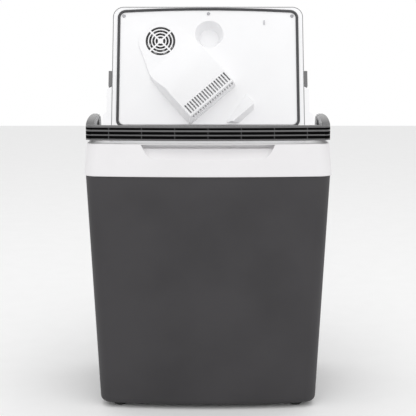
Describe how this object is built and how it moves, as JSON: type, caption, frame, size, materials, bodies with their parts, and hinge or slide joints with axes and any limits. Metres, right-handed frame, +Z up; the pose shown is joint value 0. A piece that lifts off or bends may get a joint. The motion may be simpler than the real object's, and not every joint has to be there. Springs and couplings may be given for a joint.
{
  "type": "thermoelectric cool box",
  "caption": "portable thermoelectric cool box with hinged lid that holds the cooling unit, folding carrying handle and insulated tub",
  "frame": {"origin": "centre of the box around the model, on the floor plane under the feet", "axes": "+X to the right seen from the front, -Y to the front, +Z up"},
  "size_m": [0.398, 0.4168, 0.6685],
  "materials": {
    "tub_grey": "fine grained dark grey polypropylene",
    "shell_white": "satin white polypropylene",
    "liner_white": "smooth white food-safe plastic",
    "handle_dark": "dark grey glass-filled plastic",
    "part_dark": "black moulded plastic",
    "foam": "rigid polyurethane foam",
    "seal_rubber": "dark grey soft seal",
    "foot_rubber": "black rubber",
    "steel": "plated steel",
    "aluminium": "extruded aluminium",
    "ceramic": "white alumina",
    "board_green": "solder-masked circuit board",
    "lens_red": "clear red plastic",
    "lens_green": "clear green plastic"
  },
  "bodies": {
    "box": {"outer_tub": "tub_grey", "insulation_tub": "foam", "inner_tub": "liner_white", "collar": "shell_white", "foot_front_left": "foot_rubber", "foot_front_right": "foot_rubber", "foot_rear_left": "foot_rubber", "foot_rear_right": "foot_rubber", "hinge_pin_left": "steel", "hinge_pin_right": "steel", "handle_pin_left": "steel", "handle_pin_right": "steel", "pivot_bracket_left": "handle_dark", "pivot_bracket_right": "handle_dark"},
    "handle": {"handle": "handle_dark", "hub_cap_left": "handle_dark", "hub_cap_right": "handle_dark"},
    "lid": {"lid_insulation": "foam", "lid_liner": "liner_white", "duct_cover": "liner_white", "lid_shell": "shell_white", "liner_screw_1": "steel", "liner_screw_2": "steel", "liner_screw_3": "steel", "liner_clip": "steel", "ac_inlet_contact_1": "steel", "ac_inlet_contact_2": "steel", "dc_inlet_contact_1": "steel", "dc_inlet_contact_2": "steel", "buffer_lug_left": "handle_dark", "buffer_lug_right": "handle_dark", "lid_gasket": "seal_rubber", "cold_fan_frame": "part_dark", "hot_fan_frame": "part_dark", "top_vent_cover": "part_dark", "rear_outlet_grille": "part_dark", "ac_inlet": "part_dark", "dc_inlet": "part_dark", "control_fascia": "part_dark", "cold_fan_lead": "part_dark", "hot_fan_lead": "part_dark", "supply_lead": "part_dark", "mains_lead": "part_dark", "cold_heat_sink": "aluminium", "hot_heat_sink": "aluminium", "spacer_block": "aluminium", "peltier_module": "ceramic", "control_board": "board_green", "power_supply_board": "board_green", "red_lens": "lens_red", "green_lens": "lens_green"},
    "cold_fan": {"cold_fan_rotor": "part_dark"},
    "hot_fan": {"hot_fan_rotor": "part_dark"},
    "mode_slider": {"mode_slider": "shell_white"},
    "eco_rocker": {"eco_rocker": "shell_white"}
  },
  "joints": [
    {"name": "lid_hinge", "type": "hinge", "parent": "box", "child": "lid", "pos_m": [0, 0.07317, 0.4315], "axis": [1, 0, 0], "range_deg": [0, 109.5]},
    {"name": "handle_hinge", "type": "hinge", "parent": "box", "child": "handle", "pos_m": [0, -0.07183, 0.461], "axis": [-1, 0, 0], "range_deg": [0, 92]},
    {"name": "cold_fan_spin", "type": "hinge", "parent": "lid", "child": "cold_fan", "pos_m": [-0.0895, 0.14741, 0.60072], "axis": [0, 0.9426, -0.3338], "continuous": true},
    {"name": "hot_fan_spin", "type": "hinge", "parent": "lid", "child": "hot_fan", "pos_m": [-0.0895, 0.17664, 0.59037], "axis": [0, 0.9426, -0.3338], "continuous": true},
    {"name": "mode_slide", "type": "slide", "parent": "lid", "child": "mode_slider", "axis": [1, 0, 0], "range_m": [-0.0032, 0.0032]},
    {"name": "eco_rock", "type": "hinge", "parent": "lid", "child": "eco_rocker", "pos_m": [0.12, 0.18402, 0.58426], "axis": [0, -0.3338, -0.9426], "range_deg": [-7, 7]}
  ]
}
